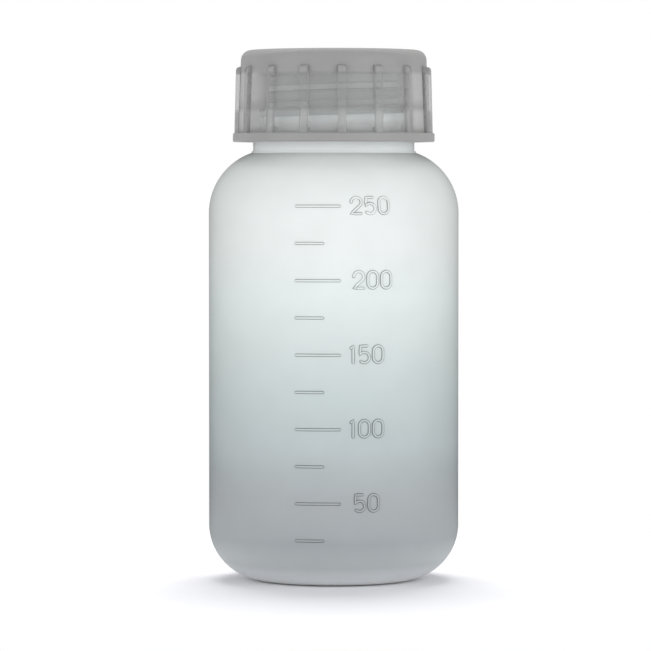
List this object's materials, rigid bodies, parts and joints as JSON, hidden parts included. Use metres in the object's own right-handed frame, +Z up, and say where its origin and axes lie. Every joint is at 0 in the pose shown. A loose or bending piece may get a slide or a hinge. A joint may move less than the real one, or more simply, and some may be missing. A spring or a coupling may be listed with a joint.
{
  "type": "graduated wide-mouth bottle",
  "caption": "Translucent round lab bottle with a domed shoulder, wide threaded neck, raised volume scale and a ribbed screw cap over a sealing disc.",
  "frame": {"origin": "centre of the standing ring, at the level of the surface the bottle rests on", "axes": "+Z up along the bottle's axis; the raised volume scale faces -Y, with +X to its right"},
  "size_m": [0.0616, 0.0618, 0.1303],
  "materials": {
    "bottle_polypropylene": "natural blow-moulded polypropylene, milky and translucent, softly matt",
    "cap_polypropylene": "natural injection-moulded polypropylene, milky grey and translucent, satin",
    "disc_polyethylene": "foamed polyethylene sheet, matt off-white"
  },
  "bodies": {
    "bottle_body": {"bottle": "bottle_polypropylene"},
    "disc_body": {"sealing_disc": "disc_polyethylene"},
    "cap_body": {"screw_cap": "cap_polypropylene"}
  },
  "joints": [
    {"name": "cap_rise", "type": "slide", "parent": "bottle_body", "child": "disc_body", "axis": [0, 0, 1], "range_m": [0, 0.04]},
    {"name": "cap_turn", "type": "hinge", "parent": "disc_body", "child": "cap_body", "pos_m": [0, 0, 0.12], "axis": [0, 0, 1], "range_deg": [0, 3600]}
  ],
  "couplings": [
    {"joint": "cap_rise", "follows": "cap_turn", "m_per_rad": 0.00063662}
  ]
}
